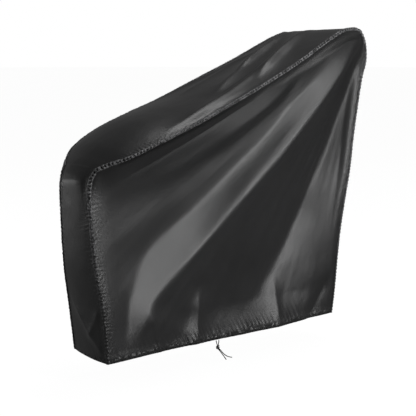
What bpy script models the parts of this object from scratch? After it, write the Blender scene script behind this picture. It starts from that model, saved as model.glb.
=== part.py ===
"""A fitted cloth cover for an upright exercise bike, low over the saddle and high over the handlebars.

Cover coordinates: x runs from the hem at the saddle end to the handlebar end, y runs across the
bike with its right-hand side at -y, and z is the height above the hem. The empty "cover_frame"
carries them, so that the world's origin is the point under the top where the handlebars hold it.

Every sheet is a grid of points on the middle of the cloth, given its thickness by Solidify.
"""
import math
from collections import namedtuple

import bmesh
import bpy
import numpy as np

RIGHT, LEFT = -1.0, 1.0

SHEET = 0.0016        # thickness of the coated cloth
TAPE = 0.0014         # thickness of the seam binding
GAP = 0.0003          # clearance between touching pieces
TAPE_LIFT = 0.0010    # clearance under the binding, over the faceted cloth
BAND = 0.014          # strip of cloth beside a seam that lies straight under the binding
TAPE_ON_PANEL = 0.010
TAPE_ON_GUSSET = 0.008
TAPE_CORNER = 0.0038  # how far the binding's fold stands off the seam line

COLUMNS = 29          # grid lines along a side panel
ROWS = 20             # grid lines up a side panel
STRIPS = 9            # grid lines across the gusset
COLUMN_CROWD = 0.45   # grid lines crowd towards both upper corners by this share
ROW_CROWD = 0.42

REST_X = 1.15         # where along the cover the handlebars carry its top
BELLY = 0.004         # how far a side panel billows out at mid height
FLARE_POWER = 8       # how fast the flare over the saddle dies away below the top seam
SEAM_FADE = 0.042     # a fold dies away over this distance from a seam
SADDLE_FADE = 0.120   # and over this distance from the saddle end's seam
HEM_HOLD = 0.35       # share of the large folds' height that the drawstring leaves at the hem
HEM_RELEASE = 0.140   # height above the hem over which they come back
CREST_ROUND = 0.50    # how blunt a fold's crest is, as a share of its flank's width

# Where the seams run: the right and left half widths there, how much lower the left seam lies
# than the right one at z, and how far the middle of the gusset crowns outwards.
Station = namedtuple("Station", "x z right left drop crown")

SADDLE_EDGE = [
    Station(0.000, 0.000, 0.108, 0.108, -0.022, 0.010),
    Station(-0.022, 0.195, 0.112, 0.110, -0.010, 0.014),
    Station(-0.050, 0.365, 0.104, 0.100, 0.000, 0.012),
    Station(-0.066, 0.555, 0.098, 0.091, 0.000, 0.012),
    Station(-0.070, 0.650, 0.095, 0.088, 0.000, 0.013),
    Station(-0.062, 0.702, 0.096, 0.090, 0.000, 0.014),
    Station(-0.042, 0.736, 0.104, 0.098, 0.000, 0.015),
]
TOP_EDGE = [
    SADDLE_EDGE[-1],
    Station(-0.010, 0.757, 0.138, 0.130, -0.004, 0.022),
    Station(0.060, 0.786, 0.192, 0.182, -0.012, 0.042),
    Station(0.190, 0.838, 0.218, 0.212, -0.017, 0.054),
    Station(0.350, 0.894, 0.221, 0.218, -0.017, 0.044),
    Station(0.500, 0.953, 0.222, 0.220, -0.006, 0.032),
    Station(0.700, 1.035, 0.222, 0.218, 0.000, 0.022),
    Station(0.890, 1.120, 0.222, 0.216, 0.014, 0.014),
    Station(1.000, 1.178, 0.223, 0.212, 0.026, 0.008),
    Station(1.070, 1.213, 0.224, 0.208, 0.030, 0.005),
    Station(1.140, 1.243, 0.224, 0.206, 0.033, 0.003),
    Station(1.205, 1.250, 0.224, 0.202, 0.020, 0.002),
    Station(1.245, 1.240, 0.224, 0.202, 0.014, 0.004),
]
HANDLEBAR_EDGE = [
    TOP_EDGE[-1],
    Station(1.273, 1.190, 0.224, 0.204, 0.008, 0.010),
    Station(1.281, 1.115, 0.222, 0.208, 0.000, 0.014),
    Station(1.262, 1.025, 0.214, 0.208, 0.000, 0.018),
    Station(1.240, 0.820, 0.198, 0.196, 0.000, 0.020),
    Station(1.230, 0.650, 0.184, 0.182, 0.000, 0.022),
    Station(1.208, 0.392, 0.155, 0.155, 0.000, 0.020),
    Station(1.210, 0.141, 0.125, 0.125, 0.000, 0.014),
    Station(1.211, 0.024, 0.108, 0.108, 0.000, 0.010),
]
HEM = [
    SADDLE_EDGE[0],
    Station(0.400, 0.010, 0.122, 0.122, 0.000, 0.000),
    Station(0.850, 0.011, 0.122, 0.122, 0.000, 0.000),
    HANDLEBAR_EDGE[-1],
]

# A fold runs from (p0, q0) to (p1, q1), bowed to its left by "bow" at its middle. Its left and
# right flanks, looking along it, die away over their own widths, and it starts at the share
# "pinch" of its full width.
Fold = namedtuple("Fold", "p0 q0 p1 q1 bow left right height pinch")

# On a side panel p is x and q is z: the small folds under the top and at the hem.
RIGHT_FOLDS = [
    Fold(0.720, 1.005, 0.088, 0.705, 0.010, 0.012, 0.012, -0.004, 0.60),
    Fold(0.445, 0.240, 0.430, -0.010, 0.000, 0.040, 0.034, 0.013, 0.80),
    Fold(0.880, 0.230, 0.885, -0.020, 0.000, 0.034, 0.034, 0.009, 0.80),
    Fold(1.200, 0.230, 1.060, 0.000, 0.000, 0.045, 0.030, -0.010, 0.70),
    Fold(0.180, 0.190, 0.250, 0.000, 0.012, 0.030, 0.022, 0.006, 0.90),
]
LEFT_FOLDS = [
    Fold(0.760, 1.020, 0.120, 0.720, 0.010, 0.014, 0.014, -0.004, 0.60),
    Fold(0.560, 0.220, 0.520, 0.010, 0.000, 0.040, 0.040, 0.009, 0.50),
    Fold(0.980, 0.180, 1.000, 0.000, 0.000, 0.035, 0.035, -0.008, 0.40),
    Fold(0.160, 0.200, 0.240, 0.040, 0.000, 0.020, 0.020, 0.006, 0.60),
]
# On the top p is x and q is y: creases that the handlebars draw down the slope.
TOP_FOLDS = [
    Fold(1.150, 0.120, 0.560, -0.095, -0.010, 0.024, 0.034, 0.013, 0.80),
    Fold(1.200, 0.015, 0.280, -0.185, 0.030, 0.030, 0.026, 0.012, 0.80),
    Fold(1.100, 0.075, 0.440, 0.190, 0.000, 0.018, 0.026, 0.008, 0.70),
    Fold(1.000, -0.030, 0.520, -0.140, 0.000, 0.020, 0.024, -0.007, 0.70),
    Fold(0.940, 0.130, 0.520, 0.060, 0.000, 0.016, 0.022, 0.005, 0.80),
]
# On the saddle end p is z and q is y: the crease behind the saddle, and the drawn-in foot.
SADDLE_END_FOLDS = [
    Fold(0.695, -0.100, 0.680, 0.090, 0.000, 0.030, 0.022, 0.008, 1.00),
    Fold(0.260, 0.085, 0.030, -0.095, 0.000, 0.022, 0.022, 0.006, 0.80),
    Fold(0.225, -0.105, 0.090, -0.020, 0.000, 0.020, 0.020, 0.005, 0.80),
]
HANDLEBAR_END_FOLDS = [
    Fold(1.120, -0.120, 0.300, -0.010, 0.000, 0.040, 0.040, -0.012, 0.50),
    Fold(1.100, 0.150, 0.120, 0.030, 0.000, 0.035, 0.045, 0.010, 0.50),
]

# The large folds fan out from the corner at the handlebars. Each crest or trough is a line of
# points x, z with the height h of the cloth there, and they lie in order from the top edge round
# to the handlebar edge. "before" and "after" say how sharp the line is towards the line before
# and after it: 0 is round and 1.5 a crease.
Crest = namedtuple("Crest", "before after points")

RIGHT_FAN = [
    Crest(0.0, 0.8, [(1.300, 1.270, 0.000), (1.220, 1.250, 0.000), (1.100, 1.225, 0.000),
                     (0.900, 1.125, 0.000), (0.700, 1.035, 0.000), (0.350, 0.894, 0.000),
                     (0.100, 0.805, 0.000), (-0.140, 0.700, 0.000)]),
    Crest(0.6, 1.4, [(1.300, 1.260, 0.000), (1.210, 1.225, 0.000), (1.100, 1.195, 0.003),
                     (1.000, 1.155, 0.007), (0.940, 1.115, 0.011), (0.876, 1.058, 0.014),
                     (0.806, 0.990, 0.016), (0.720, 0.925, 0.016), (0.600, 0.850, 0.015),
                     (0.450, 0.775, 0.009), (0.250, 0.695, 0.002), (-0.140, 0.600, -0.006)]),
    Crest(0.4, 0.0, [(1.300, 1.250, 0.000), (1.210, 1.218, 0.004), (1.100, 1.172, 0.009),
                     (1.000, 1.120, 0.010), (0.920, 1.050, 0.006), (0.850, 0.985, 0.001),
                     (0.770, 0.915, -0.001), (0.680, 0.845, -0.003), (0.550, 0.755, -0.006),
                     (0.350, 0.630, -0.009), (0.100, 0.500, -0.006), (-0.140, 0.400, -0.004)]),
    Crest(0.2, 0.9, [(1.300, 1.245, 0.000), (1.210, 1.208, 0.006), (1.110, 1.148, 0.012),
                     (1.000, 1.070, 0.010), (0.930, 1.005, 0.006), (0.862, 0.930, 0.000),
                     (0.795, 0.855, -0.005), (0.735, 0.795, -0.009), (0.579, 0.662, -0.015),
                     (0.466, 0.575, -0.018), (0.324, 0.480, -0.021), (0.235, 0.425, -0.020),
                     (0.165, 0.345, -0.017), (0.120, 0.250, -0.013), (0.090, 0.150, -0.009),
                     (0.070, -0.050, -0.004)]),
    Crest(1.0, 1.3, [(1.300, 1.240, 0.000), (1.222, 1.188, 0.018), (1.155, 1.112, 0.033),
                     (1.085, 1.028, 0.042), (1.010, 0.945, 0.044), (0.919, 0.855, 0.042),
                     (0.820, 0.755, 0.038), (0.740, 0.683, 0.034), (0.664, 0.615, 0.031),
                     (0.579, 0.540, 0.028), (0.494, 0.460, 0.024), (0.410, 0.388, 0.018),
                     (0.324, 0.320, 0.012), (0.230, 0.235, 0.008), (0.175, 0.150, 0.007),
                     (0.150, 0.070, 0.005), (0.140, -0.050, 0.002)]),
    Crest(0.3, 1.1, [(1.300, 1.230, 0.000), (1.236, 1.140, 0.000), (1.202, 1.010, -0.014),
                     (1.160, 0.870, -0.028), (1.118, 0.735, -0.040), (1.062, 0.610, -0.050),
                     (1.000, 0.470, -0.060), (0.930, 0.340, -0.064), (0.845, 0.225, -0.062),
                     (0.745, 0.125, -0.050), (0.655, 0.050, -0.034), (0.600, -0.050, -0.018)]),
    Crest(0.8, 0.0, [(1.300, 1.220, 0.000), (1.275, 1.100, 0.000), (1.262, 1.025, 0.000),
                     (1.240, 0.820, 0.000), (1.230, 0.650, 0.000), (1.208, 0.392, 0.004),
                     (1.210, 0.141, 0.006), (1.211, -0.050, 0.004)]),
]
LEFT_FAN = [
    Crest(0.0, 0.8, [(1.300, 1.260, 0.000), (1.220, 1.225, 0.000), (1.100, 1.190, 0.000),
                     (0.900, 1.110, 0.000), (0.700, 1.035, 0.000), (0.350, 0.905, 0.000),
                     (0.100, 0.815, 0.000), (-0.140, 0.700, 0.000)]),
    Crest(0.8, 1.0, [(1.300, 1.250, 0.000), (1.200, 1.195, 0.002), (1.080, 1.130, 0.008),
                     (0.950, 1.050, 0.014), (0.800, 0.960, 0.017), (0.640, 0.870, 0.017),
                     (0.450, 0.780, 0.014), (0.250, 0.690, 0.009), (-0.140, 0.560, 0.000)]),
    Crest(0.6, 0.0, [(1.300, 1.240, 0.000), (1.200, 1.170, -0.002), (1.060, 1.050, -0.005),
                     (0.920, 0.940, -0.006), (0.760, 0.820, -0.006), (0.560, 0.690, -0.004),
                     (0.320, 0.550, -0.001), (0.100, 0.450, 0.000), (-0.140, 0.340, 0.000)]),
    Crest(1.2, 1.6, [(1.300, 1.230, 0.000), (1.200, 1.110, 0.014), (1.120, 0.985, 0.026),
                     (1.030, 0.860, 0.035), (0.920, 0.735, 0.040), (0.790, 0.605, 0.041),
                     (0.650, 0.480, 0.037), (0.500, 0.360, 0.030), (0.360, 0.255, 0.020),
                     (0.240, 0.130, 0.010), (0.180, -0.050, 0.000)]),
    Crest(0.4, 0.9, [(1.300, 1.220, 0.000), (1.235, 1.080, -0.006), (1.190, 0.930, -0.018),
                     (1.130, 0.770, -0.028), (1.060, 0.600, -0.034), (0.980, 0.430, -0.036),
                     (0.890, 0.270, -0.032), (0.800, 0.120, -0.020), (0.740, -0.050, -0.010)]),
    Crest(0.6, 0.0, [(1.300, 1.210, 0.000), (1.281, 1.115, 0.000), (1.262, 1.025, 0.000),
                     (1.240, 0.820, 0.000), (1.230, 0.650, 0.000), (1.208, 0.392, 0.000),
                     (1.210, 0.141, 0.000), (1.211, -0.050, 0.000)]),
]

# The drawstring's two tails: out of the hem's edge, into the knot, and on to their free ends.
CORD_DIAMETER = 0.0036
KNOT_CENTRE = (0.5385, -0.1198, -0.0190)
KNOT_RADII = (0.0080, 0.0062, 0.0085)
KNOT_STEPS = (16, 10)
LEAD_A = [(0.5300, -0.1194, 0.0098), (0.5314, -0.1195, 0.0030), (0.5342, -0.1197, -0.0045),
          (0.5362, -0.1198, -0.0105)]
LEAD_B = [(0.5445, -0.1194, 0.0098), (0.5444, -0.1195, 0.0030), (0.5427, -0.1197, -0.0045),
          (0.5412, -0.1198, -0.0105)]
END_A = [(0.5430, -0.1169, -0.0264), (0.5490, -0.1173, -0.0335), (0.5575, -0.1178, -0.0435),
         (0.5680, -0.1182, -0.0560), (0.5765, -0.1185, -0.0668), (0.5850, -0.1188, -0.0777)]
END_B = [(0.5440, -0.1225, -0.0257), (0.5510, -0.1228, -0.0325), (0.5600, -0.1230, -0.0425),
         (0.5700, -0.1231, -0.0520), (0.5800, -0.1225, -0.0590), (0.5893, -0.1215, -0.0645),
         (0.6020, -0.1203, -0.0695), (0.6155, -0.1193, -0.0734)]

CLOTH_COLOUR = (0.030, 0.030, 0.031, 1.0)
TAPE_COLOUR = (0.034, 0.034, 0.035, 1.0)
CORD_COLOUR = (0.020, 0.020, 0.020, 1.0)


def smooth(t):
    """Rises from 0 to 1 as t does, level at both ends."""
    t = np.clip(t, 0.0, 1.0)
    return t * t * (3.0 - 2.0 * t)


def unit(vectors):
    return vectors / np.linalg.norm(vectors, axis=-1, keepdims=True)


def square_to(vectors, axes):
    """The part of each vector that stands square to its axis, made a unit vector."""
    return unit(vectors - np.sum(vectors * axes, axis=-1, keepdims=True) * axes)


def curve_through(rows, shares, steps=24):
    """A smooth curve through the rows, read at the given shares of its length."""
    rows = np.array(rows, float)
    ends = np.vstack([2 * rows[0] - rows[1], rows, 2 * rows[-1] - rows[-2]])
    samples = [rows[0]]
    for before, start, end, after in zip(ends, ends[1:], ends[2:], ends[3:]):
        for step in range(1, steps + 1):
            t = step / steps
            samples.append(0.5 * (2 * start + (end - before) * t
                                  + (2 * before - 5 * start + 4 * end - after) * t ** 2
                                  + (3 * start - before - 3 * end + after) * t ** 3))
    samples = np.array(samples)
    runs = np.linalg.norm(np.diff(samples[:, :3], axis=0), axis=1)
    length = np.concatenate([[0.0], np.cumsum(runs)])
    places = np.asarray(shares) * length[-1]
    return np.stack([np.interp(places, length, column) for column in samples.T], axis=1)


def length_of(rows):
    points = curve_through(rows, np.linspace(0.0, 1.0, 200))
    return float(np.linalg.norm(np.diff(points[:, :3], axis=0), axis=1).sum())


def banded(shares, band):
    """The given shares squeezed in between a first and a last step as wide as the band."""
    return np.concatenate([[0.0], band + (1.0 - 2.0 * band) * shares, [1.0]])


EVEN_COLUMNS = np.linspace(0.0, 1.0, COLUMNS - 2)
EVEN_ROWS = np.linspace(0.0, 1.0, ROWS - 2)
COLUMN_SHARES = banded(EVEN_COLUMNS - COLUMN_CROWD * np.sin(math.tau * EVEN_COLUMNS) / math.tau,
                       BAND / length_of(TOP_EDGE))
ROW_SHARES = banded(EVEN_ROWS + ROW_CROWD * EVEN_ROWS * (1.0 - EVEN_ROWS),
                    BAND / length_of(SADDLE_EDGE))


def fold_height(folds, p, q):
    """The height of all the folds of a table over the points (p, q)."""
    height = np.zeros_like(p)
    for fold in folds:
        run = np.array([fold.p1 - fold.p0, fold.q1 - fold.q0])
        reach = np.linalg.norm(run)
        ahead = run / reach
        share = ((p - fold.p0) * ahead[0] + (q - fold.q0) * ahead[1]) / reach
        aside = (q - fold.q0) * ahead[0] - (p - fold.p0) * ahead[1]
        aside = aside - 4.0 * fold.bow * share * (1.0 - share)
        width = np.where(aside > 0.0, fold.left, fold.right)
        width = width * (fold.pinch + (1.0 - fold.pinch) * np.clip(share, 0.0, 1.0))
        along = smooth(share / 0.40 + 0.10) * smooth((1.12 - share) / 0.30)
        crest = np.hypot(aside / width, CREST_ROUND) - CREST_ROUND
        height += fold.height * along * np.exp(-crest)
    return height


def signed_distance(line, p, q):
    """Each point's distance from a line, above 0 on its left, and the share of the way along it."""
    shares = np.linspace(0.0, 1.0, 90)
    path = curve_through(line, shares)
    flat = np.stack([p.ravel(), q.ravel()], axis=1)
    starts, runs = path[:-1, :2], np.diff(path[:, :2], axis=0)
    reach = np.sum(runs ** 2, axis=1)
    best = np.full(len(flat), 1e9)
    signed = np.zeros(len(flat))
    height = np.zeros(len(flat))
    for start, run, square, low, high in zip(starts, runs, reach, path[:-1, 2], path[1:, 2]):
        away = flat - start
        t = np.clip(away @ run / square, 0.0, 1.0)
        gap = away - t[:, None] * run
        distance = np.hypot(gap[:, 0], gap[:, 1])
        nearer = distance < best
        best = np.where(nearer, distance, best)
        side = np.sign(run[0] * away[:, 1] - run[1] * away[:, 0])
        signed = np.where(nearer, side * distance, signed)
        height = np.where(nearer, low + t * (high - low), height)
    return signed.reshape(p.shape), height.reshape(p.shape)


def fan_height(fan, p, q):
    """The height of the cloth between the fan's crests and troughs."""
    fields = [signed_distance(crest.points, p, q) for crest in fan]
    total = np.zeros_like(p)
    for i in range(len(fan) - 1):
        (before, low), (after, high) = fields[i], fields[i + 1]
        inside = (before >= 0.0) & (after < 0.0)
        t = np.clip(before / np.maximum(before - after, 1e-6), 0.0, 1.0)
        start, end = fan[i].after, fan[i + 1].before
        ease = ((t ** 3 - 2 * t ** 2 + t) * start + (3 * t ** 2 - 2 * t ** 3)
                + (t ** 3 - t ** 2) * end)
        total = np.where(inside, low + (high - low) * ease, total)
    return total


def seam_points(stations, side):
    """The points of one side's seam at curve samples of the stations."""
    x, z, right, left, drop, _ = stations.T
    if side == RIGHT:
        return np.stack([x, -right, z], axis=1)
    return np.stack([x, left, z - drop], axis=1)


def seam_edges(side):
    """A side's hem, top, saddle and handlebar edges, each from low to high share."""
    hem = seam_points(curve_through(HEM, COLUMN_SHARES), side)
    top = seam_points(curve_through(TOP_EDGE, COLUMN_SHARES), side)
    saddle = seam_points(curve_through(SADDLE_EDGE, ROW_SHARES), side)
    handlebar = seam_points(curve_through(HANDLEBAR_EDGE[::-1], ROW_SHARES), side)
    return hem, top, saddle, handlebar


def panel_grid(side, folds, fan):
    """A side panel's points: columns from the saddle end, rows from the hem up."""
    hem, top, saddle, handlebar = seam_edges(side)
    u = COLUMN_SHARES[:, None, None]
    v = ROW_SHARES[None, :, None]
    corners = ((1 - u) * (1 - v) * hem[0] + u * (1 - v) * hem[-1]
               + (1 - u) * v * top[0] + u * v * top[-1])
    grid = ((1 - v) * hem[:, None] + v * top[:, None]
            + (1 - u) * saddle[None] + u * handlebar[None] - corners)
    u, v = u[..., 0], v[..., 0]
    # Below its top seam the panel widens evenly towards the handlebars, without the seam's flare.
    lean = top[0, 1] + (top[-1, 1] - top[0, 1]) * u ** 2
    grid[..., 1] += (top[:, None, 1] - lean) * (v ** FLARE_POWER - v)
    x, z = grid[..., 0].copy(), grid[..., 2].copy()
    from_saddle = u * length_of(HEM) + np.zeros_like(v)
    inset = np.minimum(np.minimum(u, 1 - u) * length_of(HEM), (1 - v) * length_of(SADDLE_EDGE))
    free = smooth((inset - BAND) / SEAM_FADE) * smooth((from_saddle - BAND) / SADDLE_FADE)
    held = HEM_HOLD + (1.0 - HEM_HOLD) * smooth(z / HEM_RELEASE)
    billow = BELLY * np.sin(math.pi * v) + fold_height(folds, x, z) + held * fan_height(fan, x, z)
    grid[..., 1] += side * free * billow
    return grid


def around(grid, inset):
    """A panel's outline from the saddle end's hem over the top to the other hem, inset by grid lines."""
    low, high = inset, -1 - inset
    up = [grid[low, row] for row in range(ROWS - 1)]
    over = [grid[column, high] for column in range(COLUMNS)]
    down = [grid[high, row] for row in reversed(range(ROWS - 1))]
    line = np.array(up + over + down)
    line[ROWS - 1] = grid[low, high]
    line[ROWS + COLUMNS - 2] = grid[high, high]
    return line


def gusset_grid(right_seam, left_seam):
    """The gusset's points: stations along the seams, strips from the right seam to the left."""
    stations = np.concatenate([curve_through(SADDLE_EDGE, ROW_SHARES)[:-1],
                               curve_through(TOP_EDGE, COLUMN_SHARES),
                               curve_through(HANDLEBAR_EDGE[::-1], ROW_SHARES)[-2::-1]])
    width = np.linalg.norm(left_seam - right_seam, axis=1)
    even = np.linspace(0.0, 1.0, STRIPS - 2)
    across = np.array([banded(even, BAND / reach) for reach in width])[..., None]
    grid = right_seam[:, None] * (1 - across) + left_seam[:, None] * across
    ahead = unit(np.gradient(stations[:, :2], axis=0))
    outwards = np.stack([-ahead[:, 1], np.zeros(len(ahead)), ahead[:, 0]], axis=1)
    profile = 1.0 - (2.0 * across[..., 0] - 1.0) ** 2
    x, y, z = grid[..., 0].copy(), grid[..., 1].copy(), grid[..., 2].copy()
    station = np.arange(len(grid))[:, None]
    saddle_end = station < ROWS
    handlebar_end = station > ROWS + COLUMNS - 3
    folds = np.where(saddle_end, fold_height(SADDLE_END_FOLDS, z, y),
                     np.where(handlebar_end, fold_height(HANDLEBAR_END_FOLDS, z, y),
                              fold_height(TOP_FOLDS, x, y)))
    beside = np.minimum(across[..., 0], 1.0 - across[..., 0]) * width[:, None]
    lift = stations[:, 5:6] * profile + folds * smooth((beside - BAND) / (0.5 * SEAM_FADE))
    return grid + lift[..., None] * outwards[:, None]


def seam_clearance(panel_way, gusset_way):
    """How far each sheet stops short of the seam line, so that the two edges stay a gap apart."""
    half_angle = 0.5 * np.arccos(np.clip(np.sum(panel_way * gusset_way, axis=1), -1.0, 1.0))
    short = (0.5 * GAP + 0.5 * SHEET * np.cos(half_angle)) / np.sin(half_angle)
    return (1.05 * short)[:, None]


def seam_frame(seam, panel_ring, gusset_ring):
    """At each seam station: the ways into the panel and into the gusset, square to the seam."""
    along = unit(np.gradient(seam, axis=0))
    return square_to(panel_ring - seam, along), square_to(gusset_ring - seam, along)


def binding_grid(seam, panel_ring, gusset_ring):
    """The binding's points: stations along the seam, strips from the panel round to the gusset."""
    panel_way, gusset_way = seam_frame(seam, panel_ring, gusset_ring)
    off_panel = -square_to(gusset_way, panel_way)
    off_gusset = -square_to(panel_way, gusset_way)
    lift = 0.5 * SHEET + TAPE_LIFT + 0.5 * TAPE
    down_panel = unit(panel_ring - seam)
    down_gusset = unit(gusset_ring - seam)
    strips = [
        seam + TAPE_ON_PANEL * down_panel + lift * off_panel,
        seam + TAPE_CORNER * (off_panel + 0.3 * down_panel),
        seam + TAPE_CORNER * (off_gusset + 0.3 * down_gusset),
        seam + TAPE_ON_GUSSET * down_gusset + lift * off_gusset,
    ]
    return np.stack(strips, axis=1)


def new_material(name, colour, roughness):
    material = bpy.data.materials.new(name)
    material.use_nodes = True
    shader = material.node_tree.nodes["Principled BSDF"]
    shader.inputs["Base Color"].default_value = colour
    shader.inputs["Roughness"].default_value = roughness
    shader.inputs["Metallic"].default_value = 0.0
    return material


def place(obj, material, frame, collection):
    obj.data.materials.append(material)
    obj.parent = frame
    collection.objects.link(obj)


def sheet(name, grid, thickness, flip, material, frame, collection):
    """A cloth piece: the grid as an open surface of triangles, thickened evenly to both sides."""
    rows, columns = grid.shape[:2]
    bm = bmesh.new()
    points = [[bm.verts.new(point) for point in line] for line in grid]
    for i in range(rows - 1):
        for j in range(columns - 1):
            a, b, c, d = points[i][j], points[i + 1][j], points[i + 1][j + 1], points[i][j + 1]
            for corners in ((a, b, c), (a, c, d)):
                bm.faces.new(corners[::-1] if flip else corners)
    mesh = bpy.data.meshes.new(name)
    bm.to_mesh(mesh)
    bm.free()
    mesh.shade_smooth()
    obj = bpy.data.objects.new(name, mesh)
    solidify = obj.modifiers.new("thickness", "SOLIDIFY")
    solidify.thickness = thickness
    solidify.offset = 0.0
    solidify.use_even_offset = True
    place(obj, material, frame, collection)


def cord(name, route, material, frame, collection):
    """A round cord on a smooth curve through the route's points."""
    count = max(4, round(length_of(route) / (2.5 * CORD_DIAMETER)))
    curve = bpy.data.curves.new(name, "CURVE")
    curve.dimensions = "3D"
    curve.bevel_depth = 0.5 * CORD_DIAMETER
    curve.bevel_resolution = 2
    curve.use_fill_caps = True
    spline = curve.splines.new("POLY")
    spline.points.add(count - 1)
    for point, place_at in zip(spline.points, curve_through(route, np.linspace(0.0, 1.0, count))):
        point.co = (*place_at, 1.0)
    place(bpy.data.objects.new(name, curve), material, frame, collection)


def knot(name, material, frame, collection):
    """The knot's outer form, one rounded body."""
    bm = bmesh.new()
    bmesh.ops.create_uvsphere(bm, u_segments=KNOT_STEPS[0], v_segments=KNOT_STEPS[1], radius=1.0)
    bmesh.ops.scale(bm, vec=KNOT_RADII, verts=bm.verts)
    mesh = bpy.data.meshes.new(name)
    bm.to_mesh(mesh)
    bm.free()
    mesh.shade_smooth()
    obj = bpy.data.objects.new(name, mesh)
    obj.location = KNOT_CENTRE
    place(obj, material, frame, collection)


def build():
    for obj in list(bpy.data.objects):
        bpy.data.objects.remove(obj)
    collection = bpy.data.collections.new("exercise_bike_cover")
    bpy.context.scene.collection.children.link(collection)
    frame = bpy.data.objects.new("cover_frame", None)
    collection.objects.link(frame)

    cloth = new_material("cover_cloth", CLOTH_COLOUR, 0.55)
    tape = new_material("seam_tape", TAPE_COLOUR, 0.60)
    string = new_material("drawstring", CORD_COLOUR, 0.75)

    panels = {RIGHT: panel_grid(RIGHT, RIGHT_FOLDS, RIGHT_FAN),
              LEFT: panel_grid(LEFT, LEFT_FOLDS, LEFT_FAN)}
    seams = {side: around(panel, 0) for side, panel in panels.items()}
    rings = {side: around(panel, 1) for side, panel in panels.items()}
    gusset = gusset_grid(seams[RIGHT], seams[LEFT])
    gusset_edge = {RIGHT: (0, 1), LEFT: (-1, -2)}

    top = gusset[ROWS - 1:ROWS + COLUMNS - 1, STRIPS // 2]
    frame.location = (-REST_X, 0.0, 0.5 * SHEET - np.interp(REST_X, top[:, 0], top[:, 2]))

    for side, name in ((RIGHT, "right"), (LEFT, "left")):
        edge, ring = gusset_edge[side]
        gusset_ring = gusset[:, ring].copy()
        binding = binding_grid(seams[side], rings[side], gusset_ring)
        sheet(f"seam_binding_{name}", binding, TAPE, side == LEFT, tape, frame, collection)

        panel_way, gusset_way = seam_frame(seams[side], rings[side], gusset_ring)
        short = seam_clearance(panel_way, gusset_way)
        gusset[:, edge] = seams[side] + short * gusset_way
        outline = seams[side] + short * panel_way
        panel = panels[side]
        panel[0, :] = outline[:ROWS]
        panel[:, -1] = outline[ROWS - 1:ROWS + COLUMNS - 1]
        panel[-1, :] = outline[ROWS + COLUMNS - 2:][::-1]
        sheet(f"side_panel_{name}", panel, SHEET, side == LEFT, cloth, frame, collection)
    sheet("gusset_strip", gusset, SHEET, False, cloth, frame, collection)

    cord("tie_lead_a", LEAD_A, string, frame, collection)
    cord("tie_lead_b", LEAD_B, string, frame, collection)
    knot("tie_knot", string, frame, collection)
    cord("tie_end_a", END_A, string, frame, collection)
    cord("tie_end_b", END_B, string, frame, collection)


build()
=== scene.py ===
"""A fitted black cloth cover for an upright exercise bike: its looks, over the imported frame.

Cover coordinates: x runs from the hem at the saddle end to the handlebar end, y runs across the
bike with its right-hand side at -y, and z is the height above the hem. TO_ROW moves them to the
frame's own coordinates.
"""
import math
from collections import namedtuple

import bmesh
import bpy
import numpy as np
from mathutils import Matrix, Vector


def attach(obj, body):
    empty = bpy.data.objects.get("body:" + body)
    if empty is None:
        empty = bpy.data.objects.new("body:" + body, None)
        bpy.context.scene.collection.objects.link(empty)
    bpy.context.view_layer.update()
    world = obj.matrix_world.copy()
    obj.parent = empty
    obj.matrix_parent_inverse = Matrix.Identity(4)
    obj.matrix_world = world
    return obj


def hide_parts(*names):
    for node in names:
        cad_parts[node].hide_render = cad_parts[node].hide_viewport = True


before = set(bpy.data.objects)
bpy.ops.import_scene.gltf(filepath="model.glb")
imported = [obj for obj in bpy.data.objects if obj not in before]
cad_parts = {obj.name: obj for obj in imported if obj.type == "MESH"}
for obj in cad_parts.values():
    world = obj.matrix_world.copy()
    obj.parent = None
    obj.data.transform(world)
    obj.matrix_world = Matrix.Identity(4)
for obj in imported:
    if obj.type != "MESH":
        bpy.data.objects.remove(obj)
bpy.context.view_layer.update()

RIGHT, LEFT = -1.0, 1.0    # which way each side panel lies from the centre plane
UP = np.array([0.0, 0.0, 1.0])
TO_ROW = np.array([-1.15, 0.0, -1.2326406])

# ---------------------------------------------------------------- camera
CAMERA_AT = (-3.974, -3.9174, 0.0174)
CAMERA_YAW = -41.08        # degrees from +Y
CAMERA_PITCH = 7.912       # degrees down
CAMERA_LENS = 112.085
SENSOR_WIDTH = 36.0
CAMERA_CLIP = 200.0        # past the dome


def make_camera():
    data = bpy.data.cameras.new("camera")
    data.lens = CAMERA_LENS
    data.sensor_width = SENSOR_WIDTH
    data.clip_end = CAMERA_CLIP
    camera = bpy.data.objects.new("camera", data)
    camera.location = CAMERA_AT
    camera.rotation_euler = (math.radians(90.0 - CAMERA_PITCH), 0.0, math.radians(CAMERA_YAW))
    bpy.context.scene.collection.objects.link(camera)
    bpy.context.scene.camera = camera


make_camera()

# ---------------------------------------------------------------- helpers


def smooth(t):
    """Rises from 0 to 1 as t does, level at both ends."""
    t = np.clip(t, 0.0, 1.0)
    return t * t * (3.0 - 2.0 * t)


def unit(vectors):
    """Each vector at a length of 1."""
    return vectors / np.linalg.norm(vectors, axis=-1, keepdims=True)


def square_to(vectors, axes):
    """The part of each vector that stands square to its axis, made a unit vector."""
    return unit(vectors - np.sum(vectors * axes, axis=-1, keepdims=True) * axes)


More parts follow.
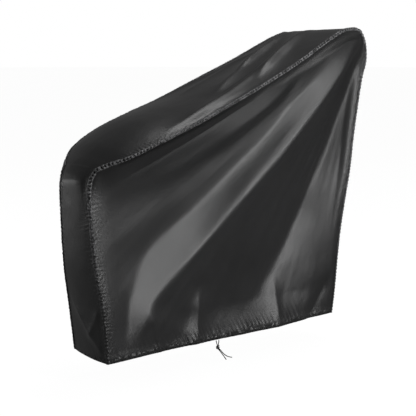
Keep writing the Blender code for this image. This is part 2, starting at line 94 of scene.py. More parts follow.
def curve_through(rows, shares, steps=24):
    """A smooth curve through the rows, read at the given shares of its length."""
    rows = np.array(rows, float)
    ends = np.vstack([2 * rows[0] - rows[1], rows, 2 * rows[-1] - rows[-2]])
    samples = [rows[0]]
    for before, start, end, after in zip(ends, ends[1:], ends[2:], ends[3:]):
        for step in range(1, steps + 1):
            t = step / steps
            samples.append(0.5 * (2 * start + (end - before) * t
                                  + (2 * before - 5 * start + 4 * end - after) * t ** 2
                                  + (3 * start - before - 3 * end + after) * t ** 3))
    samples = np.array(samples)
    runs = np.linalg.norm(np.diff(samples[:, :3], axis=0), axis=1)
    length = np.concatenate([[0.0], np.cumsum(runs)])
    places = np.asarray(shares) * length[-1]
    return np.stack([np.interp(places, length, column) for column in samples.T], axis=1)


def length_of(rows, samples=200):
    """The length of the smooth curve through the rows."""
    points = curve_through(rows, np.linspace(0.0, 1.0, samples))
    return float(np.linalg.norm(np.diff(points[:, :3], axis=0), axis=1).sum())


# ---------------------------------------------------------------- drawstring tails
CORD_DIAMETER = 0.0036
CORD_SIDES = 3             # the bevel's resolution
TAIL_POINTS, KNOT_POINTS = 40, 120
# Each tail is its lead from the hem to the knot, its way through the knot, and its free end.
LEAD_A = [(0.5300, -0.1194, 0.0098), (0.5314, -0.1195, 0.0030), (0.5342, -0.1197, -0.0045),
          (0.5362, -0.1198, -0.0105)]
LEAD_B = [(0.5445, -0.1194, 0.0098), (0.5444, -0.1195, 0.0030), (0.5427, -0.1197, -0.0045),
          (0.5412, -0.1198, -0.0105)]
END_A = [(0.5430, -0.1169, -0.0264), (0.5490, -0.1173, -0.0335), (0.5575, -0.1178, -0.0435),
         (0.5680, -0.1182, -0.0560), (0.5765, -0.1185, -0.0668), (0.5850, -0.1188, -0.0777)]
END_B = [(0.5440, -0.1225, -0.0257), (0.5510, -0.1228, -0.0325), (0.5600, -0.1230, -0.0425),
         (0.5700, -0.1231, -0.0520), (0.5800, -0.1225, -0.0590), (0.5893, -0.1215, -0.0645),
         (0.6020, -0.1203, -0.0695), (0.6155, -0.1193, -0.0734)]
IN_KNOT_A = [(0.5372, -0.1184, -0.0150), (0.5398, -0.1180, -0.0205)]
IN_KNOT_B = [(0.5402, -0.1212, -0.0150), (0.5412, -0.1216, -0.0205)]
# The knot's own turns round the two tails.
KNOT_TURNS = [(0.5335, -0.1198, -0.0135), (0.5375, -0.1246, -0.0125), (0.5440, -0.1218, -0.0135),
              (0.5430, -0.1158, -0.0155), (0.5360, -0.1150, -0.0170), (0.5325, -0.1198, -0.0185),
              (0.5370, -0.1250, -0.0200), (0.5445, -0.1223, -0.0195), (0.5440, -0.1158, -0.0210),
              (0.5370, -0.1148, -0.0225), (0.5340, -0.1193, -0.0240), (0.5385, -0.1238, -0.0255),
              (0.5440, -0.1208, -0.0250)]


def cord(name, route, radius, count):
    """A round cord on a smooth curve through the route's points."""
    curve = bpy.data.curves.new(name, "CURVE")
    curve.dimensions = "3D"
    curve.bevel_depth = radius
    curve.bevel_resolution = CORD_SIDES
    curve.use_fill_caps = True
    spline = curve.splines.new("POLY")
    spline.points.add(count - 1)
    for point, place_at in zip(spline.points, curve_through(route, np.linspace(0.0, 1.0, count))):
        point.co = (*(place_at + TO_ROW), 1.0)
    obj = bpy.data.objects.new(name, curve)
    bpy.context.scene.collection.objects.link(obj)
    return obj


tails = {}
for letter, route in (("a", LEAD_A + IN_KNOT_A + END_A), ("b", LEAD_B + IN_KNOT_B + END_B)):
    tail = cord(f"tail_{letter}", route, 0.5 * CORD_DIAMETER, TAIL_POINTS)
    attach(tail, "root")
    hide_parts(f"tie_lead_{letter}", f"tie_end_{letter}")
    tails[letter] = (tail, route)
knot = cord("knot_turns", KNOT_TURNS, 0.5 * CORD_DIAMETER, KNOT_POINTS)
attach(knot, "root")
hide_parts("tie_knot")
for letter, (tail, route) in tails.items():
    round(length_of(route), 3)

# ---------------------------------------------------------------- the cloth's shape
# The binding: a tape folded over each seam, and its stitches.
TAPE_ON_PANEL = 0.0100
TAPE_ON_GUSSET = 0.0080
TAPE_LIFT = 0.0010         # how far the tape's edges stand off the cloth
TAPE_CORNER = 0.0048       # how far the binding's fold stands off the seam line
TAPE_BULGE = 1.5           # the fold's guide points stand this many corners off
TAPE_LEAN = 0.35           # how far they lean back over the panel, as a share of that
TAPE_WAVER = 0.0007        # height of the tape's small unevenness
TAPE_WAVER_LENGTH = 0.011
TAPE_WAVERS_ACROSS = 6.0
TAPE_STATIONS = 1900
TAPE_STRIPS = 15
STITCH_PULL = {RIGHT: 1.0, LEFT: 0.30}       # the left seam's stitches sit flatter
STITCH_PITCH = 0.0145
STITCH_DRIFT = 0.22        # of a pitch
STITCH_LENGTH = 0.0062
STITCH_WIDTH = 0.46        # share of the tape's width
STITCH_ROW = 0.45          # where the row runs, as a share of the tape's width
STITCH_DEPTH = 0.0040
STITCH_ARCH = 0.0012       # how far the whole tape rises between two stitches
STITCH_FADE = 0.40         # share of the stitches' strength that is left near the hem
STITCH_FADE_FROM, STITCH_FADE_OVER = 0.10, 0.45       # heights above the hem
EDGE_STITCHING = 0.0007    # height of the two sewn edges of the tape
EDGE_ROWS = (0.13, 0.87)   # where they run, as shares of the tape's width
EDGE_ROW_WIDTH = 0.07

# The cloth between the seams.
BAND = 0.014               # strip of cloth beside a seam that lies straight under the binding
SEAM_FADE = 0.042          # the folds reach their full height this far from a seam
SADDLE_FADE = 0.120        # and this far from the saddle end's seam
FLARE_POWER = 8            # how fast the flare over the saddle dies away below the top seam
BELLY = 0.004
SLACK = 0.010              # how far the cloth falls in beside the saddle end
SLACK_RISE = 0.26          # from the saddle end's seam to the slack's full depth
TOP_SLOPE = 0.93           # distance square to the sloping top seam, for each metre straight down
SLACK_END, SLACK_FALL = 0.80, 0.40           # where it ends, and how long it takes to
FOLD_RISE, FOLD_START = 0.40, 0.10           # a fold rises over this share of its length
FOLD_END, FOLD_FALL = 1.12, 0.30             # and dies away over this one, a little past its end
CREST_ROUND = 0.30         # how round a fold's crest is, as a share of its width
CREST_SAMPLES = 90         # points on each line of the large folds
CREASE_PASSES = 36         # how often the large folds' creases are eased

# The gathers of the seams and of the hem.
SEAM_PERIOD = 0.0145       # from one pucker of a seam to the next
SEAM_PUCKER = 0.0007
SEAM_PUCKER_REACH = 0.015
PUCKER_WANDER = 0.031      # from one long pucker to the next
SEAM_SLANT = 0.25          # how far the puckers slant along the seam
PUCKER_CLEAR = 0.05        # height above the hem by which the seams' puckers are at their full
HEM_TURN = 0.0022          # how far in the hem turns before it runs back up
TURN_STEPS = 4
HEM_CHANNEL = 0.019        # height of the sewn channel that the drawstring runs in
HEM_BULGE = 0.0016         # how far the channel stands out
HEM_HOLD = 0.35            # share of the large folds' height that the drawstring leaves at the hem
HEM_RELEASE = 0.140
HEM_PERIOD = 0.021
HEM_GATHER = 0.0034
HEM_GATHER_REACH = 0.024
HEM_GATHER_CLEAR = 0.03    # distance from a seam by which the hem's gathers are at their full
HEM_EDGE_SHARE = 0.55      # share of the gathers' height at the hem's own edge
HEM_SLANT = 0.45           # how far the gathers slant towards the saddle end as they rise
DRAWN_X, DRAWN_REACH = 0.42, 0.40            # where the drawstring draws hardest, and how far

PANEL_COLUMNS = 400
PANEL_ROWS = 212
HEM_ROWS, TOP_ROWS = 26, 16                  # of the rows, those in the two finer strips
GUSSET_STRIPS = 56

Station = namedtuple("Station", "x z right left drop crown")

SADDLE_EDGE = [
    Station(0.000, 0.000, 0.108, 0.108, -0.022, 0.010),
    Station(-0.022, 0.195, 0.112, 0.110, -0.010, 0.014),
    Station(-0.050, 0.365, 0.104, 0.100, 0.000, 0.012),
    Station(-0.066, 0.555, 0.098, 0.091, 0.000, 0.012),
    Station(-0.070, 0.650, 0.095, 0.088, 0.000, 0.013),
    Station(-0.062, 0.702, 0.096, 0.090, 0.000, 0.014),
    Station(-0.042, 0.736, 0.104, 0.098, 0.000, 0.015),
]
TOP_EDGE = [
    SADDLE_EDGE[-1],
    Station(-0.010, 0.757, 0.138, 0.130, -0.004, 0.022),
    Station(0.060, 0.786, 0.192, 0.182, -0.012, 0.042),
    Station(0.190, 0.838, 0.218, 0.212, -0.017, 0.054),
    Station(0.350, 0.894, 0.221, 0.218, -0.017, 0.044),
    Station(0.500, 0.953, 0.222, 0.220, -0.006, 0.032),
    Station(0.700, 1.035, 0.222, 0.218, 0.000, 0.022),
    Station(0.890, 1.120, 0.222, 0.216, 0.014, 0.014),
    Station(1.000, 1.178, 0.223, 0.212, 0.026, 0.008),
    Station(1.070, 1.213, 0.224, 0.208, 0.030, 0.005),
    Station(1.140, 1.243, 0.224, 0.206, 0.033, 0.003),
    Station(1.205, 1.250, 0.224, 0.202, 0.020, 0.002),
    Station(1.245, 1.240, 0.224, 0.202, 0.014, 0.004),
]
HANDLEBAR_EDGE = [
    TOP_EDGE[-1],
    Station(1.273, 1.190, 0.224, 0.204, 0.008, 0.010),
    Station(1.281, 1.115, 0.222, 0.208, 0.000, 0.014),
    Station(1.262, 1.025, 0.214, 0.208, 0.000, 0.018),
    Station(1.240, 0.820, 0.198, 0.196, 0.000, 0.020),
    Station(1.230, 0.650, 0.184, 0.182, 0.000, 0.022),
    Station(1.208, 0.392, 0.155, 0.155, 0.000, 0.020),
    Station(1.210, 0.141, 0.125, 0.125, 0.000, 0.014),
    Station(1.211, 0.024, 0.108, 0.108, 0.000, 0.010),
]
HEM = [
    SADDLE_EDGE[0],
    Station(0.400, 0.010, 0.122, 0.122, 0.000, 0.000),
    Station(0.850, 0.011, 0.122, 0.122, 0.000, 0.000),
    HANDLEBAR_EDGE[-1],
]

# A fold runs from (p0, q0) to (p1, q1), bowed to its left by "bow" at its middle. Its left and
# right flanks, looking along it, die away over their own widths, and it starts at the share
# "pinch" of its full width.
Fold = namedtuple("Fold", "p0 q0 p1 q1 bow left right height pinch")

APEX = (1.270, 1.250)      # the corner at the handlebars, from which the folds fan out
# The fine folds along the fan: their angle at the corner, their length and their share of RIPPLE.
Ripple = namedtuple("Ripple", "angle length share")
RIPPLE = 0.0009
RIPPLES = [Ripple(0.060, 0.45, 1.0), Ripple(0.024, 0.30, 0.5)]
RIPPLE_FROM, RIPPLE_OVER = 0.15, 0.5         # how far from the corner they start and are full
SWELL = 0.0007             # height of the cloth's soft unevenness
SWELL_LENGTH = 0.095
TOP_SWELL_WIDTH = 0.08     # across the gusset
FINE_SWELL_LENGTH, FINE_SWELL_SHARE = 0.037, 0.45

# The large folds fan out from the corner at the handlebars. Each crest or trough is a line of
# points x, z with the height h of the cloth there, and they lie in order from the top edge round
# to the handlebar edge. "before" and "after" say how sharp the line is towards the line before
# and after it: 0 is round and 1.5 a crease.
Crest = namedtuple("Crest", "before after points")

RIGHT_FAN = [
    Crest(0.0, 0.8, [(1.300, 1.270, 0.000), (1.220, 1.250, 0.000), (1.100, 1.225, 0.000),
                     (0.900, 1.125, 0.000), (0.700, 1.035, 0.000), (0.350, 0.894, 0.000),
                     (0.100, 0.805, 0.000), (-0.140, 0.700, 0.000)]),
    Crest(0.6, 1.4, [(1.300, 1.260, 0.000), (1.210, 1.225, 0.003), (1.100, 1.195, 0.007),
                     (1.000, 1.155, 0.009), (0.940, 1.115, 0.012), (0.876, 1.058, 0.014),
                     (0.806, 0.990, 0.016), (0.720, 0.925, 0.016), (0.600, 0.850, 0.015),
                     (0.450, 0.775, 0.009), (0.250, 0.695, 0.002), (-0.140, 0.600, -0.006)]),
    Crest(0.4, 0.0, [(1.300, 1.250, 0.000), (1.210, 1.218, 0.006), (1.100, 1.172, 0.014),
                     (1.000, 1.120, 0.016), (0.920, 1.050, 0.012), (0.850, 0.985, 0.001),
                     (0.770, 0.915, -0.001), (0.680, 0.845, -0.003), (0.550, 0.755, -0.006),
                     (0.350, 0.630, -0.009), (0.100, 0.500, -0.006), (-0.140, 0.400, -0.004)]),
    Crest(0.2, 0.9, [(1.300, 1.245, 0.000), (1.210, 1.208, 0.010), (1.110, 1.148, 0.020),
                     (1.000, 1.070, 0.018), (0.930, 1.005, 0.010), (0.862, 0.930, 0.000),
                     (0.795, 0.855, -0.005), (0.735, 0.795, -0.009), (0.579, 0.662, -0.015),
                     (0.466, 0.575, -0.018), (0.324, 0.480, -0.021), (0.235, 0.425, -0.020),
                     (0.165, 0.345, -0.017), (0.120, 0.250, -0.013), (0.090, 0.150, -0.009),
                     (0.070, -0.050, -0.004)]),
    Crest(1.0, 1.3, [(1.300, 1.240, 0.000), (1.222, 1.188, 0.018), (1.155, 1.112, 0.033),
                     (1.085, 1.028, 0.042), (1.010, 0.945, 0.044), (0.919, 0.855, 0.042),
                     (0.820, 0.755, 0.038), (0.740, 0.683, 0.034), (0.664, 0.615, 0.031),
                     (0.579, 0.540, 0.028), (0.494, 0.460, 0.024), (0.410, 0.388, 0.018),
                     (0.324, 0.320, 0.012), (0.230, 0.235, 0.008), (0.175, 0.150, 0.007),
                     (0.150, 0.070, 0.005), (0.140, -0.050, 0.002)]),
    Crest(0.3, 1.1, [(1.300, 1.230, 0.000), (1.236, 1.140, 0.000), (1.202, 1.010, -0.014),
                     (1.160, 0.870, -0.028), (1.118, 0.735, -0.040), (1.062, 0.610, -0.050),
                     (1.000, 0.470, -0.060), (0.930, 0.340, -0.064), (0.845, 0.225, -0.062),
                     (0.745, 0.125, -0.050), (0.655, 0.050, -0.034), (0.600, -0.050, -0.018)]),
    Crest(0.8, 0.0, [(1.300, 1.220, 0.000), (1.275, 1.100, 0.000), (1.262, 1.025, 0.000),
                     (1.240, 0.820, 0.000), (1.230, 0.650, 0.000), (1.208, 0.392, 0.004),
                     (1.210, 0.141, 0.006), (1.211, -0.050, 0.004)]),
]
RIGHT_FOLDS = [
    Fold(0.720, 1.005, 0.088, 0.705, 0.010, 0.012, 0.012, -0.004, 0.60),
    Fold(0.445, 0.240, 0.430, -0.010, 0.000, 0.040, 0.034, 0.013, 0.80),
    Fold(0.880, 0.230, 0.885, -0.020, 0.000, 0.034, 0.034, 0.009, 0.80),
    Fold(1.200, 0.230, 1.060, 0.000, 0.000, 0.045, 0.030, -0.010, 0.70),
    Fold(0.180, 0.190, 0.250, 0.000, 0.012, 0.030, 0.022, 0.006, 0.90),
]
LEFT_FAN = [
    Crest(0.0, 0.8, [(1.300, 1.260, 0.000), (1.220, 1.225, 0.000), (1.100, 1.190, 0.000),
                     (0.900, 1.110, 0.000), (0.700, 1.035, 0.000), (0.350, 0.905, 0.000),
                     (0.100, 0.815, 0.000), (-0.140, 0.700, 0.000)]),
    Crest(0.8, 1.0, [(1.300, 1.250, 0.000), (1.200, 1.195, 0.002), (1.080, 1.130, 0.008),
                     (0.950, 1.050, 0.014), (0.800, 0.960, 0.017), (0.640, 0.870, 0.017),
                     (0.450, 0.780, 0.014), (0.250, 0.690, 0.009), (-0.140, 0.560, 0.000)]),
    Crest(0.6, 0.0, [(1.300, 1.240, 0.000), (1.200, 1.170, -0.002), (1.060, 1.050, -0.005),
                     (0.920, 0.940, -0.006), (0.760, 0.820, -0.006), (0.560, 0.690, -0.004),
                     (0.320, 0.550, -0.001), (0.100, 0.450, 0.000), (-0.140, 0.340, 0.000)]),
    Crest(1.2, 1.6, [(1.300, 1.230, 0.000), (1.200, 1.110, 0.014), (1.120, 0.985, 0.026),
                     (1.030, 0.860, 0.035), (0.920, 0.735, 0.040), (0.790, 0.605, 0.041),
                     (0.650, 0.480, 0.037), (0.500, 0.360, 0.030), (0.360, 0.255, 0.020),
                     (0.240, 0.130, 0.010), (0.180, -0.050, 0.000)]),
    Crest(0.4, 0.9, [(1.300, 1.220, 0.000), (1.235, 1.080, -0.006), (1.190, 0.930, -0.018),
                     (1.130, 0.770, -0.028), (1.060, 0.600, -0.034), (0.980, 0.430, -0.036),
                     (0.890, 0.270, -0.032), (0.800, 0.120, -0.020), (0.740, -0.050, -0.010)]),
    Crest(0.6, 0.0, [(1.300, 1.210, 0.000), (1.281, 1.115, 0.000), (1.262, 1.025, 0.000),
                     (1.240, 0.820, 0.000), (1.230, 0.650, 0.000), (1.208, 0.392, 0.000),
                     (1.210, 0.141, 0.000), (1.211, -0.050, 0.000)]),
]
LEFT_FOLDS = [
    Fold(0.760, 1.020, 0.120, 0.720, 0.010, 0.014, 0.014, -0.004, 0.60),
    Fold(0.560, 0.220, 0.520, 0.010, 0.000, 0.040, 0.040, 0.009, 0.50),
    Fold(0.980, 0.180, 1.000, 0.000, 0.000, 0.035, 0.035, -0.008, 0.40),
    Fold(0.160, 0.200, 0.240, 0.040, 0.000, 0.020, 0.020, 0.006, 0.60),
]
TOP_FOLDS = [
    Fold(1.150, 0.120, 0.560, -0.095, -0.010, 0.024, 0.034, 0.013, 0.80),
    Fold(1.200, 0.015, 0.280, -0.185, 0.030, 0.030, 0.026, 0.012, 0.80),
    Fold(1.100, 0.075, 0.440, 0.190, 0.000, 0.018, 0.026, 0.008, 0.70),
    Fold(1.000, -0.030, 0.520, -0.140, 0.000, 0.020, 0.024, -0.007, 0.70),
    Fold(0.940, 0.130, 0.520, 0.060, 0.000, 0.016, 0.022, 0.005, 0.80),
    Fold(1.230, 0.040, 0.740, -0.150, 0.000, 0.020, 0.030, 0.016, 0.90),
    Fold(1.230, 0.140, 0.780, 0.000, 0.000, 0.018, 0.030, 0.013, 0.90),
]
SADDLE_END_FOLDS = [
    Fold(0.695, -0.100, 0.680, 0.090, 0.000, 0.030, 0.022, 0.008, 1.00),
    Fold(0.260, 0.085, 0.030, -0.095, 0.000, 0.022, 0.022, 0.006, 0.80),
    Fold(0.225, -0.105, 0.090, -0.020, 0.000, 0.020, 0.020, 0.005, 0.80),
]
HANDLEBAR_END_FOLDS = [
    Fold(1.120, -0.120, 0.300, -0.010, 0.000, 0.040, 0.040, -0.012, 0.50),
    Fold(1.100, 0.150, 0.120, 0.030, 0.000, 0.035, 0.045, 0.010, 0.50),
]

# Grid lines: an even step along the panels, and a finer one beside the hem and the top seam.
COLUMN_SHARES = np.linspace(0.0, 1.0, PANEL_COLUMNS)
FINE_AT_HEM, FINE_AT_TOP = 0.085, 0.045
MIDDLE_ROWS = PANEL_ROWS - (HEM_ROWS - 1) - (TOP_ROWS - 1)
ROW_SHARES = np.concatenate([np.linspace(0.0, FINE_AT_HEM, HEM_ROWS)[:-1],
                             np.linspace(FINE_AT_HEM, 1.0 - FINE_AT_TOP, MIDDLE_ROWS),
                             np.linspace(1.0 - FINE_AT_TOP, 1.0, TOP_ROWS)[1:]])
NOISE_CELLS = 128          # cells of noise before it repeats
PANEL_SEEDS = {RIGHT: 11, LEFT: 57}
BINDING_SEEDS = {RIGHT: 69, LEFT: 71}
GUSSET_SEED = 90


def noise(a, b, seed):
    """Smooth random hills and hollows from -1 to 1, one to each unit of a and b."""
    table = np.random.default_rng(seed).uniform(-1.0, 1.0, (NOISE_CELLS, NOISE_CELLS))
    i, j = np.floor(a).astype(int), np.floor(b).astype(int)
    f, g = smooth(a - i), smooth(b - j)
    near, far = i % NOISE_CELLS, (i + 1) % NOISE_CELLS
    low, high = j % NOISE_CELLS, (j + 1) % NOISE_CELLS
    return ((table[near, low] * (1 - f) + table[far, low] * f) * (1 - g)
            + (table[near, high] * (1 - f) + table[far, high] * f) * g)


def gathers(along, period, seed):
    """Uneven waves along a seam, whose thread draws the cloth up at each stitch.

    The waves drift by about a third of a period, and their strength wanders too.
    """
    zero = np.zeros_like(along)
    drift = 0.35 * noise(along / (3.3 * period), zero, seed)
    strength = 0.65 + 0.45 * noise(along / (2.1 * period), zero + 7.5, seed + 1)
    return strength * np.sin(math.tau * (along / period + drift))


def seam_pucker(along, inset, seed):
    """How far the cloth stands out beside a seam at a distance from it."""
    uneven = noise(along / PUCKER_WANDER, np.zeros_like(along), seed + 5)
    reach = SEAM_PUCKER_REACH * (1.0 + 0.5 * uneven)
    past_tape = np.maximum(inset - TAPE_ON_PANEL, 0.0)
    grown = smooth(inset / TAPE_ON_PANEL) * np.exp(-past_tape / reach)
    return SEAM_PUCKER * grown * gathers(along + SEAM_SLANT * inset, SEAM_PERIOD, seed)


def fold_height(folds, p, q):
    """The height of all the folds of a table over the points (p, q)."""
    height = np.zeros_like(p)
    for fold in folds:
        run = np.array([fold.p1 - fold.p0, fold.q1 - fold.q0])
        reach = np.linalg.norm(run)
        ahead = run / reach
        share = ((p - fold.p0) * ahead[0] + (q - fold.q0) * ahead[1]) / reach
        aside = (q - fold.q0) * ahead[0] - (p - fold.p0) * ahead[1]
        aside = aside - 4.0 * fold.bow * share * (1.0 - share)
        width = np.where(aside > 0.0, fold.left, fold.right)
        width = width * (fold.pinch + (1.0 - fold.pinch) * np.clip(share, 0.0, 1.0))
        along = (smooth(share / FOLD_RISE + FOLD_START)
                 * smooth((FOLD_END - share) / FOLD_FALL))
        crest = np.hypot(aside / width, CREST_ROUND) - CREST_ROUND
        height += fold.height * along * np.exp(-crest)
    return height


def signed_distance(line, p, q):
    """Each point's distance from a line, above 0 on its left, and the line's height beside it."""
    path = curve_through(line, np.linspace(0.0, 1.0, CREST_SAMPLES))
    flat = np.stack([p.ravel(), q.ravel()], axis=1)
    starts, runs = path[:-1, :2], np.diff(path[:, :2], axis=0)
    reach = np.sum(runs ** 2, axis=1)
    best = np.full(len(flat), np.inf)
    signed = np.zeros(len(flat))
    height = np.zeros(len(flat))
    for start, run, square, low, high in zip(starts, runs, reach, path[:-1, 2], path[1:, 2]):
        away = flat - start
        t = np.clip(away @ run / square, 0.0, 1.0)
        gap = away - t[:, None] * run
        distance = np.hypot(gap[:, 0], gap[:, 1])
        nearer = distance < best
        best = np.where(nearer, distance, best)
        side = np.sign(run[0] * away[:, 1] - run[1] * away[:, 0])
        signed = np.where(nearer, side * distance, signed)
        height = np.where(nearer, low + t * (high - low), height)
    return signed.reshape(p.shape), height.reshape(p.shape)


def fan_height(fan, p, q):
    """The height of the cloth between the fan's crests and troughs."""
    fields = [signed_distance(crest.points, p, q) for crest in fan]
    total = np.zeros_like(p)
    for i in range(len(fan) - 1):
        (before, low), (after, high) = fields[i], fields[i + 1]
        inside = (before >= 0.0) & (after < 0.0)
        t = np.clip(before / np.maximum(before - after, 1e-6), 0.0, 1.0)
        start, end = fan[i].after, fan[i + 1].before
        ease = ((t ** 3 - 2 * t ** 2 + t) * start + (3 * t ** 2 - 2 * t ** 3)
                + (t ** 3 - t ** 2) * end)
        total = np.where(inside, low + (high - low) * ease, total)
    return total


def softened(field, passes):
    """The field with its sharpest creases eased over a few grid lines."""
    for _ in range(passes):
        wide = np.pad(field, 1, mode="edge")
        field = 0.5 * field + 0.125 * (wide[:-2, 1:-1] + wide[2:, 1:-1] + wide[1:-1, :-2]
                                       + wide[1:-1, 2:])
    return field


def seam_points(stations, side):
    """The points of one side's seam at curve samples of the stations."""
    x, z, right, left, drop, _ = stations.T
    if side == RIGHT:
        return np.stack([x, -right, z], axis=1)
    return np.stack([x, left, z - drop], axis=1)


def panel_grid(side, folds, fan, seed):
    """A side panel's points: columns from the saddle end, rows from the hem up."""
    hem = seam_points(curve_through(HEM, COLUMN_SHARES), side)
    top = seam_points(curve_through(TOP_EDGE, COLUMN_SHARES), side)
    saddle = seam_points(curve_through(SADDLE_EDGE, ROW_SHARES), side)
    handlebar = seam_points(curve_through(HANDLEBAR_EDGE[::-1], ROW_SHARES), side)
    u = COLUMN_SHARES[:, None, None]
    v = ROW_SHARES[None, :, None]
    corners = ((1 - u) * (1 - v) * hem[0] + u * (1 - v) * hem[-1]
               + (1 - u) * v * top[0] + u * v * top[-1])
    grid = ((1 - v) * hem[:, None] + v * top[:, None]
            + (1 - u) * saddle[None] + u * handlebar[None] - corners)
    u, v = u[..., 0], v[..., 0]
    lean = top[0, 1] + (top[-1, 1] - top[0, 1]) * u ** 2
    grid[..., 1] += (top[:, None, 1] - lean) * (v ** FLARE_POWER - v)
    x, z = grid[..., 0].copy(), grid[..., 2].copy()
    below_top = TOP_SLOPE * np.linalg.norm(grid - grid[:, -1:], axis=2)
    from_saddle = np.linalg.norm(grid - grid[:1], axis=2)
    from_handlebar = np.linalg.norm(grid - grid[-1:], axis=2)
    above_hem = np.linalg.norm(grid - grid[:, :1], axis=2)
    inset = np.minimum(np.minimum(from_saddle, from_handlebar), below_top)
    free = smooth((inset - BAND) / SEAM_FADE) * smooth((from_saddle - BAND) / SADDLE_FADE)

    billow = BELLY * np.sin(math.pi * v) + fold_height(folds, x, z)
    billow = billow - (SLACK * smooth(from_saddle / SLACK_RISE)
                       * smooth((SLACK_END - x) / SLACK_FALL))
    held = HEM_HOLD + (1.0 - HEM_HOLD) * smooth(above_hem / HEM_RELEASE)
    billow = billow + held * softened(fan_height(fan, x, z), CREASE_PASSES)
    angle = np.arctan2(z - APEX[1], x - APEX[0])
    reach = np.hypot(x - APEX[0], z - APEX[1])
    ripples = sum(row.share * noise(angle / row.angle, reach / row.length, seed + 3 * i)
                  for i, row in enumerate(RIPPLES))
    billow = billow + RIPPLE * smooth((reach - RIPPLE_FROM) / RIPPLE_OVER) * ripples
    billow = billow + SWELL * noise(x / SWELL_LENGTH, z / SWELL_LENGTH, seed + 1)

    along_top = COLUMN_SHARES[:, None] * length_of(TOP_EDGE) + np.zeros_like(v)
    along_saddle = ROW_SHARES[None] * length_of(SADDLE_EDGE) + np.zeros_like(u)
    along_handlebar = ROW_SHARES[None] * length_of(HANDLEBAR_EDGE) + np.zeros_like(u)
    pucker = (seam_pucker(along_top, below_top, seed + 10)
              + seam_pucker(along_saddle, from_saddle, seed + 20)
              + seam_pucker(along_handlebar, from_handlebar, seed + 30))
    grid[..., 1] += side * (free * billow + pucker * smooth(above_hem / PUCKER_CLEAR))
    grid[..., 1] += side * hem_gathers(x, above_hem, seed + 40) * smooth(inset / HEM_GATHER_CLEAR)
    return grid


def hem_gathers(x, above, seed):
    """The short slanting folds that the drawstring draws up, and the channel's own bulge."""
    in_channel = HEM_EDGE_SHARE + (1.0 - HEM_EDGE_SHARE) * smooth(above / HEM_CHANNEL)
    past_channel = np.exp(-np.maximum(above - HEM_CHANNEL, 0.0) / HEM_GATHER_REACH)
    rise = np.where(above < HEM_CHANNEL, in_channel, past_channel)
    zero = np.zeros_like(x)
    drawn = (0.45 + 0.55 * smooth(1.0 - np.abs(x - DRAWN_X) / DRAWN_REACH)
             + 0.3 * noise(x / 0.11, zero, seed))
    slant = x + HEM_SLANT * above
    folds = (0.6 * noise(slant / (0.55 * HEM_PERIOD), above / 0.060, seed + 1)
             + 0.5 * gathers(slant, HEM_PERIOD, seed + 2))
    bulge = HEM_BULGE * np.sin(math.pi * np.clip(above / HEM_CHANNEL, 0.0, 1.0))
    return HEM_GATHER * drawn * rise * folds + bulge


def around(grid, inset):
    """A panel's outline from the saddle end's hem over the top to the other hem.

    The outline runs the given number of grid lines inside the panel's edge.
    """
    low, high = inset, -1 - inset
    up = [grid[low, row] for row in range(PANEL_ROWS - 1)]
    over = [grid[column, high] for column in range(PANEL_COLUMNS)]
    down = [grid[high, row] for row in reversed(range(PANEL_ROWS - 1))]
    return np.array(up + over + down)


def gusset_grid(right_seam, left_seam):
    """The gusset's points: stations along the seams, strips from the right seam to the left."""
    stations = np.concatenate([curve_through(SADDLE_EDGE, ROW_SHARES)[:-1],
                               curve_through(TOP_EDGE, COLUMN_SHARES),
                               curve_through(HANDLEBAR_EDGE[::-1], ROW_SHARES)[-2::-1]])
    width = np.linalg.norm(left_seam - right_seam, axis=1)
    across = np.tile(np.linspace(0.0, 1.0, GUSSET_STRIPS)[:, None], (len(stations), 1, 1))
    grid = right_seam[:, None] * (1 - across) + left_seam[:, None] * across
    ahead = unit(np.gradient(stations[:, :2], axis=0))
    outwards = np.stack([-ahead[:, 1], np.zeros(len(ahead)), ahead[:, 0]], axis=1)
    profile = 1.0 - (2.0 * across[..., 0] - 1.0) ** 2
    x, y, z = grid[..., 0].copy(), grid[..., 1].copy(), grid[..., 2].copy()
    station = np.arange(len(grid))[:, None]
    saddle_end = station < PANEL_ROWS
    handlebar_end = station > PANEL_ROWS + PANEL_COLUMNS - 3
    folds = np.where(saddle_end, fold_height(SADDLE_END_FOLDS, z, y),
                     np.where(handlebar_end, fold_height(HANDLEBAR_END_FOLDS, z, y),
                              fold_height(TOP_FOLDS, x, y)))
    beside = np.minimum(across[..., 0], 1.0 - across[..., 0]) * width[:, None]
    steps = np.linalg.norm(np.diff(stations[:, :2], axis=0), axis=1)
    along = np.concatenate([[0.0], np.cumsum(steps)])[:, None]
    from_right = across[..., 0] * width[:, None]
    fine = noise(along / FINE_SWELL_LENGTH, from_right / FINE_SWELL_LENGTH, GUSSET_SEED + 2)
    swell = (SWELL * noise(along / SWELL_LENGTH, from_right / TOP_SWELL_WIDTH, GUSSET_SEED + 1)
             + FINE_SWELL_SHARE * SWELL * fine)
    every = along + np.zeros_like(beside)
    pucker = np.where(across[..., 0] < 0.5, seam_pucker(every, beside, GUSSET_SEED + 3),
                      seam_pucker(every, beside, GUSSET_SEED + 6))
    lift = (stations[:, 5:6] * profile + pucker
            + (folds + swell) * smooth((beside - BAND) / (0.5 * SEAM_FADE)))
    return grid + lift[..., None] * outwards[:, None]


def turned_hem(edge, inwards):
    """The rows of the hem that run down, round inside the cloth and back up its channel."""
    rows = []
    for step in range(TURN_STEPS + 1):
        turn = math.pi * (1.0 - step / TURN_STEPS)
        rows.append(edge + HEM_TURN * (0.5 * (1.0 - math.cos(turn)) * inwards
                                       - 0.5 * math.sin(turn) * UP))
    return [edge + HEM_TURN * inwards + HEM_CHANNEL * UP] + rows[:-1]


